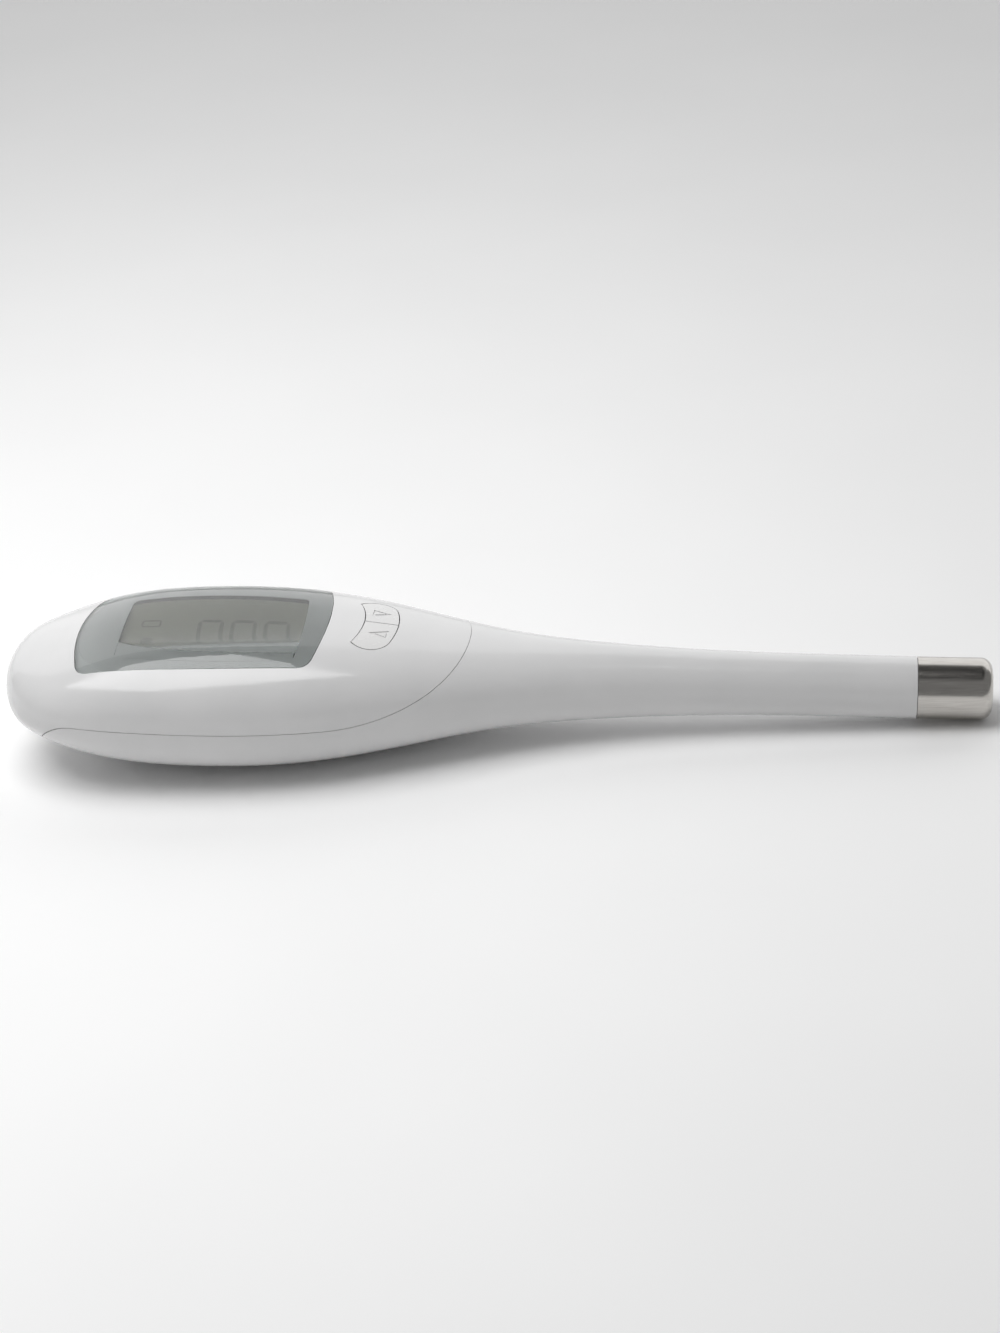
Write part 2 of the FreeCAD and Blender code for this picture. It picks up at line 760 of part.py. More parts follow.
def board_screws():
    """Four identical slotted screws that hold the board to the cover's bosses."""
    under = "sizes.board_top - sizes.board_thickness"
    screws = []
    for end in ("left", "right"):
        for side, sign in (("near", "-"), ("far", "")):
            name = "screw_%s_%s" % (end, side)
            x, y = "sizes.boss_%s_x" % end, "%ssizes.boss_%s_y" % (sign, end)
            head = primitive("Part::Cylinder", name + "_head", (x, y, under + " - sizes.screw_head_height"),
                             Radius="sizes.screw_head_radius", Height="sizes.screw_head_height")
            shank = primitive("Part::Cylinder", name + "_shank", (x, y, under),
                              Radius="sizes.screw_radius",
                              Height="sizes.screw_length + sizes.board_thickness")
            whole = combined("Part::MultiFuse", name + "_whole", [head, shank])
            slot = primitive("Part::Box", name + "_slot",
                             (x + " - sizes.screw_head_radius", y + " - sizes.screw_slot / 2",
                              under + " - sizes.screw_head_height"),
                             Length="2 * sizes.screw_head_radius", Width="sizes.screw_slot",
                             Height="sizes.screw_slot")
            screws.append(cut_from(name, whole, slot))
    return gathered("board_screws", screws)


def controller_blob():
    """Domed resin over the controller chip, under the board."""
    top = "sizes.board_top - sizes.board_thickness"
    low = top + " - sizes.blob_height"
    body = disc("controller_blob", "sizes.blob_x", "0", "sizes.blob_radius", low, top)
    rim = edges_where(body.Tip, lambda edge: abs(edge.BoundBox.ZMax - value_of(low)) < TOUCHING)
    round_edges(body, body.Tip, rim, "sizes.blob_edge")
    return body


def timing_crystal():
    """Can of the timing crystal, lying under the board."""
    body = new_body("timing_crystal")
    sketch = new_sketch(body, "outline", "YZ_Plane", "sizes.crystal_x - sizes.crystal_length / 2")
    add_circle(sketch, "sizes.crystal_y", "sizes.board_top - sizes.board_thickness - sizes.crystal_radius",
               "sizes.crystal_radius")
    pad(body, sketch, "sizes.crystal_length")
    return body


def chip_parts():
    """Small resistors and capacitors in two rows under the board."""
    low = "sizes.board_top - sizes.board_thickness - sizes.chip_height"
    chips = []
    for column in range(CHIP_COLUMNS):
        x = "sizes.chip_first_x + %d * sizes.chip_pitch" % column
        for side, sign in (("near", "-"), ("far", "")):
            y = "%ssizes.chip_row_y - sizes.chip_width / 2" % sign
            chips.append(primitive("Part::Box", "chip_%s_%d" % (side, column), (x, y, low),
                                   Length="sizes.chip_length", Width="sizes.chip_width",
                                   Height="sizes.chip_height"))
    return gathered("chip_parts", chips)


# ---------------------------------------------------------------- buttons and switches

def half_outline(side, margin):
    """Prism over one button's half of the opening; side is -1 for the near one and 1 for the far one."""
    pair = prism(button_pair_outline(margin), 0, BEYOND)
    inner_edge = size("button_gap") / 2.0
    low_y = inner_edge if side > 0 else -BEYOND
    half = Part.makeBox(2.0 * BEYOND, BEYOND - inner_edge, 2.0 * BEYOND, Vector(0, low_y, -BEYOND))
    return pair.common(half)


def triangle(side, inset):
    """Triangular outline of a button's mark; the near one points to the display, the far one away."""
    height, half_base = size("mark_length"), size("mark_half_width")
    inner_radius = half_base * height / (half_base + math.hypot(half_base, height))
    keep = 1.0 - inset / inner_radius
    centre = Vector(size("mark_x") - side * (height / 2.0 - inner_radius), side * size("mark_y"), 0)
    tip_distance = height - inner_radius
    corners = [Vector(side * tip_distance, 0, 0), Vector(-side * inner_radius, half_base, 0),
               Vector(-side * inner_radius, -half_base, 0)]
    return Part.makePolygon([centre + corner * keep for corner in corners + corners[:1]])


def button(name, side):
    """Button cap flush with the cover, with a retaining flange, a stem and an engraved mark."""
    cap = half_outline(side, 0).common(skin(0)).cut(skin(size("button_thickness")))
    flange_depth = size("cover_wall") + size("button_flange_gap")
    flange_thickness = size("button_flange_thickness")
    flange = half_outline(side, size("button_flange")).common(skin(flange_depth))
    flange = flange.cut(skin(flange_depth + flange_thickness))
    under_face = skin(size("button_thickness") / 2.0)
    web = half_outline(side, -size("button_web_inset")).common(under_face)
    web = web.cut(skin(flange_depth + flange_thickness / 2.0))
    stem_low = size("board_top") + size("switch_height") + size("plunger_proud")
    stem = upright_cylinder(size("stem_radius"), size("switch_x"), side * size("switch_y"), stem_low, BEYOND)
    groove = prism(triangle(side, 0), 0, BEYOND).cut(prism(triangle(side, size("mark_line")), 0, BEYOND))
    groove = groove.cut(skin(size("mark_depth")))
    return keep_shape(name, cap.fuse([web, flange, stem.common(under_face)]).cut(groove).removeSplitter())


def switch_case(name, sign):
    """Case of a push switch on the board, bored for its plunger."""
    body = new_body(name)
    x, y = "sizes.switch_x", sign + "sizes.switch_y"
    outline = new_sketch(body, "outline", "XY_Plane", "sizes.board_top")
    half = "sizes.switch_side / 2"
    add_rectangle(outline, "%s - %s" % (x, half), "%s + %s" % (x, half),
                  "%s - %s" % (y, half), "%s + %s" % (y, half))
    pad(body, outline, "sizes.switch_height")
    bore = new_sketch(body, "bore", "XY_Plane", "sizes.board_top + sizes.switch_height")
    add_circle(bore, x, y, "sizes.plunger_radius + sizes.plunger_clearance")
    pocket(body, bore, "sizes.plunger_bore_depth", False)
    return body


def switch_plunger(name, sign):
    """Plunger of a push switch, touching the button's stem."""
    return disc(name, "sizes.switch_x", sign + "sizes.switch_y", "sizes.plunger_radius",
                "sizes.board_top + sizes.switch_height - sizes.plunger_depth",
                "sizes.board_top + sizes.switch_height + sizes.plunger_proud")


# ---------------------------------------------------------------- battery compartment

def battery():
    """Coin cell lying flat over the hatch."""
    body = disc("battery", "sizes.battery_x", "0", "sizes.battery_radius",
                "sizes.battery_low", "sizes.battery_low + sizes.battery_height")
    rims = edges_where(body.Tip, lambda edge: edge.BoundBox.ZLength < TOUCHING)
    round_edges(body, body.Tip, rims, "sizes.battery_edge")
    return body


def battery_hatch():
    """Round cover of the battery well: a shallow cup that follows the belly, with a coin slot."""
    radius, x = size("hatch_radius"), size("battery_x")
    top = size("battery_low") - size("hatch_gap")
    hatch = upright_cylinder(radius, x, 0, -BEYOND, top).common(skin(0))
    hollow = upright_cylinder(radius - size("hatch_rim"), x, 0, -BEYOND, 0).common(skin(size("hatch_wall")))
    length, width = size("hatch_slot_length"), size("hatch_slot_width")
    slot = Part.makeBox(length, width, BEYOND, Vector(x - length / 2.0, -width / 2.0, -BEYOND))
    slot = slot.cut(skin(size("hatch_slot_depth")))
    groove = Part.makeTorus(radius - size("seal_groove_inset"), size("seal_groove_radius"),
                            Vector(x, 0, size("seal_height")))
    return keep_shape("battery_hatch", hatch.cut([hollow, slot, groove]).removeSplitter())


def hatch_seal():
    """Rubber ring in the hatch's groove, standing slightly proud of it."""
    ring = primitive("Part::Torus", "seal_ring", ("sizes.battery_x", "0", "sizes.seal_height"),
                     Radius1="sizes.hatch_radius - sizes.seal_groove_inset",
                     Radius2="sizes.seal_section_radius")
    reach = "2 * sizes.seal_section_radius"
    limit = primitive("Part::Cylinder", "seal_limit",
                      ("sizes.battery_x", "0", "sizes.seal_height - %s" % reach),
                      Radius="sizes.hatch_radius + sizes.seal_proud", Height="2 * " + reach)
    return combined("Part::MultiCommon", "hatch_seal", [ring, limit])


def negative_contact():
    """Bent leaf between the board and the cell's upper face."""
    body = new_body("negative_contact")
    half_width = "sizes.contact_width / 2"
    sketch = new_sketch(body, "profile", "XZ_Plane", "-(%s)" % half_width)
    board_low = "sizes.board_top - sizes.board_thickness"
    cell_top = "sizes.battery_low + sizes.battery_height + sizes.contact_gap"
    thick = "sizes.contact_thickness"
    foot, knee = "sizes.leaf_foot_x", "sizes.leaf_knee_x"
    toe, tip = "sizes.leaf_toe_x", "sizes.leaf_tip_x"
    bend = "%s - sizes.leaf_drop" % board_low
    add_polygon(sketch, [
        (foot, board_low),
        (foot, "%s - %s" % (board_low, thick)),
        ("%s - %s" % (knee, thick), "%s - %s" % (board_low, thick)),
        ("%s - %s" % (knee, thick), bend),
        (toe, "%s + %s" % (cell_top, thick)),
        (tip, "%s + %s" % (cell_top, thick)),
        (tip, cell_top),
        (toe, cell_top),
        (knee, "%s - %s" % (bend, thick)),
        (knee, board_low),
    ])
    pad(body, sketch, "sizes.contact_width")
    return body


def positive_contact():
    """Upright strip beside the cell's rim, with a foot on the board."""
    body = new_body("positive_contact")
    half_width = "sizes.contact_width / 2"
    sketch = new_sketch(body, "profile", "YZ_Plane", "sizes.battery_x - %s" % half_width)
    board_low = "sizes.board_top - sizes.board_thickness"
    thick = "sizes.contact_thickness"
    rim = "sizes.battery_radius + sizes.strip_gap"
    low = "sizes.strip_low"
    add_polygon(sketch, [
        (rim, low),
        ("%s + %s" % (rim, thick), low),
        ("%s + %s" % (rim, thick), board_low),
        ("%s - sizes.strip_foot" % rim, board_low),
        ("%s - sizes.strip_foot" % rim, "%s - %s" % (board_low, thick)),
        (rim, "%s - %s" % (board_low, thick)),
    ])
    pad(body, sketch, "sizes.contact_width")
    return body


# ---------------------------------------------------------------- buzzer

def buzzer_plate():
    """Brass plate of the buzzer, glued on the body's round rib."""
    return disc("buzzer_plate", "sizes.buzzer_x", "0", "sizes.buzzer_radius", "sizes.buzzer_low",
                "sizes.buzzer_low + sizes.buzzer_plate_thickness")


def buzzer_ceramic():
    """Ceramic disc on the buzzer's plate."""
    low = "sizes.buzzer_low + sizes.buzzer_plate_thickness"
    return disc("buzzer_ceramic", "sizes.buzzer_x", "0", "sizes.ceramic_radius",
                low, low + " + sizes.ceramic_thickness")


def buzzer_springs():
    """Two coil springs that join the buzzer to the board, one on the plate and one on the ceramic."""
    top = size("board_top") - size("board_thickness")
    plate_top = size("buzzer_low") + size("buzzer_plate_thickness")
    wire, radius = size("spring_wire"), size("spring_radius")
    springs = []
    on_plate = (size("buzzer_x") + size("spring_offset"), plate_top)
    on_ceramic = (size("buzzer_x"), plate_top + size("ceramic_thickness"))
    for x, low in (on_plate, on_ceramic):
        rise = top - low - 2.0 * wire
        helix = Part.makeHelix(rise / SPRING_TURNS, rise, radius)
        helix.translate(Vector(x, 0, low + wire))
        start = helix.Vertexes[0].Point
        circle = Part.Wire([Part.makeCircle(wire, start, Vector(0, 1, 0))])
        springs.append(Part.Wire(helix.Edges).makePipeShell([circle], True, True))
    return keep_shape("buzzer_springs", Part.makeCompound(springs))


# ---------------------------------------------------------------- probe tip

def tip_cap():
    """Drawn metal cap on the end of the probe, with a rounded edge."""
    start, end = "sizes.probe_end + sizes.tip_seam", "sizes.overall_length"
    outer, inner = "sizes.probe_radius", "sizes.probe_radius - sizes.tip_wall"
    body = turned("tip_cap", [
        (start, inner), (start, outer), (end, outer), (end, "0"),
        (end + " - sizes.tip_wall", "0"), (end + " - sizes.tip_wall", inner)])
    inner_end = end + " - sizes.tip_wall"
    for limit, radius, rounding in ((end, outer, "sizes.tip_edge_radius"),
                                    (inner_end, inner, "sizes.tip_edge_radius - sizes.tip_wall")):
        x, y = value_of(limit), value_of(radius)
        rim = edges_where(body.Tip, lambda edge: abs(edge.BoundBox.XMin - x) < TOUCHING
                          and abs(edge.BoundBox.YMax - y) < TOUCHING)
        round_edges(body, body.Tip, rim, rounding)
    return body


def lead_path(side):
    """Centre line of one sensor lead: off the board, down into the probe and along it to the bead."""
    on_board = size("board_top") + size("lead_radius")
    apart = side * size("lead_spread")
    points = [Vector(size("lead_start_x"), side * size("lead_start_y"), on_board),
              Vector(size("lead_edge_x"), side * size("lead_edge_y"), on_board),
              Vector(size("lead_level_x"), apart, size("lead_level_z")),
              Vector(size("bead_x") - size("bead_length") / 4.0, apart, 0.0)]
    return rounded_path(points, size("lead_bend_radius"))


def rounded_path(points, radius):
    """Wire of straight runs joined by tangent arcs."""
    edges = []
    start = points[0]
    for before, corner, after in zip(points, points[1:], points[2:]):
        inwards = (before - corner).normalize()
        outwards = (after - corner).normalize()
        half_turn = (math.pi - inwards.getAngle(outwards)) / 2.0
        reach = radius * math.tan(half_turn)
        bisector = (inwards + outwards).normalize()
        middle = corner + bisector * (radius / math.cos(half_turn) - radius)
        arc_start, arc_end = corner + inwards * reach, corner + outwards * reach
        edges.append(Part.makeLine(start, arc_start))
        edges.append(Part.Arc(arc_start, middle, arc_end).toShape())
        start = arc_end
    edges.append(Part.makeLine(start, points[-1]))
    return Part.Wire(edges)


def lead_solids():
    """The two insulated sensor leads."""
    solids = []
    for side in (-1, 1):
        path = lead_path(side)
        start = path.Edges[0]
        direction = start.tangentAt(start.FirstParameter)
        circle = Part.Wire([Part.makeCircle(size("lead_radius"), path.Vertexes[0].Point, direction)])
        solids.append(path.makePipeShell([circle], True, True))
    return solids


def sensor_bead():
    """Glass bead of the temperature sensor at the end of the probe: a rod with round ends."""
    rod_length = "sizes.bead_length - 2 * sizes.bead_radius"
    start = "sizes.bead_x - (%s) / 2" % rod_length
    rod = primitive("Part::Cylinder", "bead_rod", (start, "0", "0"),
                    Radius="sizes.bead_radius", Height=rod_length)
    rod.Placement.Rotation = Rotation(Vector(0, 1, 0), 90)
    ends = [primitive("Part::Sphere", "bead_end_%d" % number, (x, "0", "0"), Radius="sizes.bead_radius")
            for number, x in enumerate((start, "%s + %s" % (start, rod_length)))]
    return combined("Part::MultiFuse", "sensor_bead", [rod] + ends)


def sensor_leads(bead):
    """Leads from the board to the bead, ending at the bead's surface."""
    return keep_shape("sensor_leads", Part.makeCompound([lead.cut(bead.Shape) for lead in lead_solids()]))


def tip_potting(bead):
    """Resin that fills the metal cap round the bead and the ends of the leads."""
    start, end = size("potting_start"), size("overall_length") - size("tip_wall")
    radius = size("probe_radius") - size("tip_wall")
    fill = Part.makeCylinder(radius, end - start, Vector(start, 0, 0), Vector(1, 0, 0))
    rim = [edge for edge in fill.Edges if abs(edge.BoundBox.XMin - end) < TOUCHING]
    fill = fill.makeFillet(size("tip_edge_radius") - size("tip_wall"), rim)
    return keep_shape("tip_potting", fill.cut([bead.Shape] + lead_solids()))


# ---------------------------------------------------------------- assembly

def build_pieces():
    """Make every sub-part, and return them in one list."""
    pieces = [upper_cover(), lower_body(), display_lens(), lens_border(), lens_adhesive(), display_gasket()]
    pieces += display_layers()
    pieces += [lcd_holder(), lcd_connector(), main_board(), board_screws(), controller_blob(),
               timing_crystal(), chip_parts()]
    for word, sign, side in (("near", "-", -1), ("far", "", 1)):
        pieces.append(button(word + "_button", side))
        pieces.append(switch_case(word + "_switch_case", sign))
        pieces.append(switch_plunger(word + "_switch_plunger", sign))
    pieces += [battery(), battery_hatch(), hatch_seal(), negative_contact(), positive_contact(),
               buzzer_plate(), buzzer_ceramic(), buzzer_springs(), tip_cap()]
    bead = sensor_bead()
    pieces += [bead, sensor_leads(bead), tip_potting(bead)]
    return pieces


def rest_placement(pieces):
    """Placement that lays the thermometer on its belly and tip, with the origin under its middle."""
    tilt = Placement(Vector(0, 0, 0), Rotation(Vector(0, 1, 0), size("rest_tilt")))
    box = FreeCAD.BoundBox()
    for piece in pieces:
        if piece.Name in ("upper_cover", "lower_body", "battery_hatch", "tip_cap"):
            shape = piece.Shape.copy()
            shape.Placement = tilt.multiply(shape.Placement)
            box.add(shape.optimalBoundingBox(False, False))
    shift = Placement(Vector(-box.Center.x, 0, -box.ZMin), Rotation())
    return shift.multiply(tilt)


def check_document():
    """Stop if any object of the document failed."""
    for item in doc.Objects:
        if "Invalid" in item.State or "Error" in item.State:
            raise RuntimeError("%s is in state %s" % (item.Name, item.State))


def check_piece(piece):
    """Stop if a sub-part has no valid closed shape."""
    shape = piece.Shape
    if shape.isNull() or not shape.isValid() or not shape.Solids:
        raise RuntimeError("%s has no valid solid" % piece.Label)


def main():
    """Build, place, check and write every sub-part."""
    pieces = build_pieces()
    placement = rest_placement(pieces)
    for piece in pieces:
        piece.Placement = placement
    doc.recompute()
    check_document()
    os.makedirs("parts", exist_ok=True)
    for piece in pieces:
        check_piece(piece)
        piece.Shape.exportStep(os.path.join("parts", piece.Label + ".step"))
        print("%-20s solids %d volume %.2f" % (piece.Label, len(piece.Shape.Solids), piece.Shape.Volume))


main()
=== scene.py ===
"""Looks of the digital thermometer: finishes of the CAD pieces, display marks, studio and camera."""
import json
import math

import bpy
from mathutils import Matrix, Vector
from mathutils.geometry import interpolate_bezier


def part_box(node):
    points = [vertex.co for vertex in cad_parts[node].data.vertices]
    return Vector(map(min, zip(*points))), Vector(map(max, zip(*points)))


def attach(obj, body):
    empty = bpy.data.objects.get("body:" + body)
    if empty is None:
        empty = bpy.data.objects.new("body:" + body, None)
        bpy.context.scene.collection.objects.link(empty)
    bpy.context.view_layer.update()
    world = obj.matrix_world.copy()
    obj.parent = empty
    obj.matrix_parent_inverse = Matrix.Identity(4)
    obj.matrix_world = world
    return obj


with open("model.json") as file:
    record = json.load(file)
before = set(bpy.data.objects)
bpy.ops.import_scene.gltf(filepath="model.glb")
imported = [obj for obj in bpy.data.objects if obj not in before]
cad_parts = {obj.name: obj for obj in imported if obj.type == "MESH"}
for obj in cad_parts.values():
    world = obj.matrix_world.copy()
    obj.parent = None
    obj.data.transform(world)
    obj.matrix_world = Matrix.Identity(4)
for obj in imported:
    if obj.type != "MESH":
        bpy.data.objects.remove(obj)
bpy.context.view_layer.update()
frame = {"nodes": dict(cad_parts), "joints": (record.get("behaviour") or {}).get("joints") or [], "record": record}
nodes = frame["nodes"]

MM = 0.001


# ---------------------------------------------------------------- values of the finishes

# Scales of noise are in cells per millimetre, and heights in millimetres.
TONE_START = 0.3
TONE_END = 0.7
CLOUD_SCALE = 0.12
GLOSS_SCALE = 0.6
GRAIN_SCALE = 6.0
GRAIN_HEIGHT = 0.002
MARK_SCALE = 1.0
MARK_DETAIL = 4.0
MARK_HEIGHT = 0.001
FLOW_SCALE = 0.1
FLOW_GLOSS_SCALE = 0.8

# Moulded finishes: darker tone, lighter tone, lowest and highest roughness.
MOULDED = {
    "white_housing": ((0.68, 0.68, 0.682), (0.71, 0.708, 0.71), (0.13, 0.19)),
    "white_button": ((0.69, 0.69, 0.69), (0.72, 0.715, 0.71), (0.24, 0.3)),
    "grey_border": ((0.7, 0.73, 0.725), (0.73, 0.75, 0.745), (0.3, 0.36)),
    "tape": ((0.66, 0.64, 0.58), (0.72, 0.7, 0.64), (0.55, 0.65)),
    "reflector_film": ((0.42, 0.43, 0.39), (0.46, 0.46, 0.42), (0.4, 0.5)),
    "holder_plastic": ((0.62, 0.62, 0.6), (0.66, 0.66, 0.64), (0.45, 0.55)),
    "black_resin": ((0.008, 0.008, 0.009), (0.02, 0.02, 0.02), (0.12, 0.25)),
    "chip_ceramic": ((0.55, 0.47, 0.33), (0.66, 0.6, 0.48), (0.5, 0.65)),
    "switch_plastic": ((0.02, 0.02, 0.022), (0.04, 0.04, 0.042), (0.4, 0.5)),
    "plunger_plastic": ((0.62, 0.55, 0.42), (0.7, 0.64, 0.52), (0.4, 0.5)),
    "seal_rubber": ((0.012, 0.012, 0.013), (0.025, 0.025, 0.026), (0.5, 0.65)),
    "bead_glass": ((0.35, 0.16, 0.05), (0.45, 0.22, 0.08), (0.1, 0.2)),
    "lead_insulation": ((0.4, 0.03, 0.03), (0.5, 0.05, 0.05), (0.35, 0.45)),
    "potting_resin": ((0.03, 0.03, 0.032), (0.06, 0.06, 0.06), (0.3, 0.45)),
}

# Metals: the same, and how densely their marks lie along x, y and z.
METALS = {
    "screw_steel": ((0.45, 0.45, 0.46), (0.6, 0.6, 0.61), (0.25, 0.4), (2.0, 2.0, 2.0)),
    "can_metal": ((0.6, 0.6, 0.6), (0.72, 0.72, 0.72), (0.25, 0.35), (0.4, 4.0, 4.0)),
    "cell_steel": ((0.55, 0.55, 0.56), (0.72, 0.72, 0.73), (0.22, 0.35), (0.3, 3.0, 3.0)),
    "contact_metal": ((0.6, 0.56, 0.48), (0.72, 0.7, 0.64), (0.2, 0.32), (0.4, 3.0, 3.0)),
    "buzzer_brass": ((0.62, 0.43, 0.16), (0.74, 0.55, 0.25), (0.22, 0.35), (0.4, 3.0, 3.0)),
    "tip_steel": ((0.5, 0.48, 0.455), (0.62, 0.6, 0.57), (0.16, 0.24), (0.25, 5.0, 5.0)),
}

FOAM_TONES = ((0.03, 0.03, 0.032), (0.06, 0.06, 0.062))
FOAM_ROUGHNESS = (0.8, 0.95)
FOAM_GRAIN_SCALE = 3.0
FOAM_GRAIN_HEIGHT = 0.03

FILM_ROUGHNESS = (0.6, 0.7)
FILM_REFLECTION = 0.05
DISPLAY_TONES = ((0.25, 0.25, 0.205), (0.275, 0.275, 0.225))
SEGMENT_TONES = ((0.15, 0.15, 0.125), (0.165, 0.165, 0.138))

CLEAR_IOR = 1.49
WHITE = (1.0, 1.0, 1.0)
GLASS_TINT = (0.82, 0.86, 0.84)
GLASS_ROUGHNESS = (0.0, 0.04)
LENS_TINT = (0.97, 0.985, 0.98)
LENS_ROUGHNESS = (0.0, 0.03)
SMOKE_COLOUR = (0.0, 0.04, 0.03, 1.0)
SMOKE_PER_MM = 0.065

RUBBER_LAYER_SCALE = 1.6
RUBBER_TONES = ((0.03, 0.03, 0.03), (0.5, 0.48, 0.44))
RUBBER_ROUGHNESS = (0.6, 0.75)
RUBBER_GLOSS_SCALE = 1.0

TRACK_SCALE = 0.25
TRACK_WIDTH = 0.03
TRACK_HEIGHT = 0.02
MASK_DARK = (0.012, 0.10, 0.035, 1.0)
MASK_LIGHT = (0.016, 0.12, 0.045, 1.0)
TRACK_COLOUR = (0.04, 0.2, 0.07, 1.0)
BOARD_ROUGHNESS = (0.25, 0.4)
BOARD_GLOSS_SCALE = 0.8


# ---------------------------------------------------------------- material helpers

def new_material(name):
    """Plain material, its node tree and its shader node."""
    material = bpy.data.materials.new(name)
    material.use_nodes = True
    tree = material.node_tree
    shader = tree.nodes["Principled BSDF"]
    return material, tree, shader


def object_noise(tree, scale, detail=2.0, stretch=(1.0, 1.0, 1.0)):
    """Noise in the object's own millimetres, packed more densely along an axis with a large stretch."""
    place = tree.nodes.new("ShaderNodeTexCoord")
    mapping = tree.nodes.new("ShaderNodeMapping")
    mapping.inputs["Scale"].default_value = [value / MM for value in stretch]
    noise = tree.nodes.new("ShaderNodeTexNoise")
    noise.inputs["Scale"].default_value = scale
    noise.inputs["Detail"].default_value = detail
    tree.links.new(place.outputs["Object"], mapping.inputs["Vector"])
    tree.links.new(mapping.outputs["Vector"], noise.inputs["Vector"])
    return noise.outputs["Fac"]


def colour_ramp(tree, start, end, low, high):
    """Ramp that turns the colour low into the colour high between two factors."""
    ramp = tree.nodes.new("ShaderNodeValToRGB")
    ramp.color_ramp.elements[0].position = start
    ramp.color_ramp.elements[1].position = end
    ramp.color_ramp.elements[0].color = (*low, 1.0)
    ramp.color_ramp.elements[1].color = (*high, 1.0)
    return ramp


def vary_colour(tree, shader, factor, low, high):
    """Drive the base colour between two tones."""
    ramp = colour_ramp(tree, TONE_START, TONE_END, low, high)
    tree.links.new(factor, ramp.inputs["Fac"])
    tree.links.new(ramp.outputs["Color"], shader.inputs["Base Color"])


def vary_roughness(tree, shader, factor, low, high):
    """Drive the roughness between two values."""
    span = tree.nodes.new("ShaderNodeMapRange")
    span.inputs["To Min"].default_value = low
    span.inputs["To Max"].default_value = high
    tree.links.new(factor, span.inputs["Value"])
    tree.links.new(span.outputs["Result"], shader.inputs["Roughness"])


def bump(tree, shader, factor, height):
    """Raise the surface by height millimetres where the factor is 1."""
    relief = tree.nodes.new("ShaderNodeBump")
    relief.inputs["Distance"].default_value = height * MM
    relief.inputs["Strength"].default_value = 1.0
    tree.links.new(factor, relief.inputs["Height"])
    tree.links.new(relief.outputs["Normal"], shader.inputs["Normal"])


def moulded(name, low, high, roughness, grain_scale=GRAIN_SCALE, grain_height=GRAIN_HEIGHT):
    """Moulded plastic, resin or rubber: two close tones, uneven gloss and a fine grain."""
    material, tree, shader = new_material(name)
    vary_colour(tree, shader, object_noise(tree, CLOUD_SCALE), low, high)
    vary_roughness(tree, shader, object_noise(tree, GLOSS_SCALE), *roughness)
    bump(tree, shader, object_noise(tree, grain_scale), grain_height)
    return material


def matt_film(name, low, high):
    """Matt film with hardly any surface reflection."""
    material, tree, shader = new_material(name)
    vary_colour(tree, shader, object_noise(tree, CLOUD_SCALE), low, high)
    vary_roughness(tree, shader, object_noise(tree, GLOSS_SCALE), *FILM_ROUGHNESS)
    shader.inputs["Specular IOR Level"].default_value = FILM_REFLECTION
    return material


def metallic(name, low, high, roughness, stretch):
    """Drawn or brushed metal whose marks run along the axis with the smallest stretch."""
    material, tree, shader = new_material(name)
    shader.inputs["Metallic"].default_value = 1.0
    marks = object_noise(tree, MARK_SCALE, MARK_DETAIL, stretch)
    vary_colour(tree, shader, marks, low, high)
    vary_roughness(tree, shader, marks, *roughness)
    bump(tree, shader, marks, MARK_HEIGHT)
    return material


def clear(name, tint, roughness):
    """Clear plastic or glass with faint flow marks."""
    material, tree, shader = new_material(name)
    shader.inputs["Transmission Weight"].default_value = 1.0
    shader.inputs["IOR"].default_value = CLEAR_IOR
    vary_colour(tree, shader, object_noise(tree, FLOW_SCALE), tint, WHITE)
    vary_roughness(tree, shader, object_noise(tree, FLOW_GLOSS_SCALE), *roughness)
    return material


# ---------------------------------------------------------------- finishes

def smoked_lens():
    """Thick clear plastic that darkens what is seen through it, more along a longer path."""
    material = clear("clear_lens", LENS_TINT, LENS_ROUGHNESS)
    tree = material.node_tree
    smoke = tree.nodes.new("ShaderNodeVolumeAbsorption")
    smoke.inputs["Color"].default_value = SMOKE_COLOUR
    smoke.inputs["Density"].default_value = SMOKE_PER_MM / MM
    tree.links.new(smoke.outputs["Volume"], tree.nodes["Material Output"].inputs["Volume"])
    return material


def striped_rubber():
    """Elastomer connector: fine dark conducting layers in pale rubber."""
    material, tree, shader = new_material("connector_rubber")
    place = tree.nodes.new("ShaderNodeTexCoord")
    layers = tree.nodes.new("ShaderNodeTexWave")
    layers.bands_direction = "X"
    layers.inputs["Scale"].default_value = RUBBER_LAYER_SCALE / MM
    tree.links.new(place.outputs["Object"], layers.inputs["Vector"])
    vary_colour(tree, shader, layers.outputs["Fac"], *RUBBER_TONES)
    vary_roughness(tree, shader, object_noise(tree, RUBBER_GLOSS_SCALE), *RUBBER_ROUGHNESS)
    return material


def circuit_board():
    """Green solder mask with faint copper tracks under it."""
    material, tree, shader = new_material("circuit_board")
    place = tree.nodes.new("ShaderNodeTexCoord")
    tracks = tree.nodes.new("ShaderNodeTexBrick")
    tracks.inputs["Scale"].default_value = TRACK_SCALE / MM
    tracks.inputs["Color1"].default_value = MASK_DARK
    tracks.inputs["Color2"].default_value = MASK_LIGHT
    tracks.inputs["Mortar"].default_value = TRACK_COLOUR
    tracks.inputs["Mortar Size"].default_value = TRACK_WIDTH
    tree.links.new(place.outputs["Object"], tracks.inputs["Vector"])
    tree.links.new(tracks.outputs["Color"], shader.inputs["Base Color"])
    vary_roughness(tree, shader, object_noise(tree, BOARD_GLOSS_SCALE), *BOARD_ROUGHNESS)
    bump(tree, shader, tracks.outputs["Fac"], TRACK_HEIGHT)
    return material


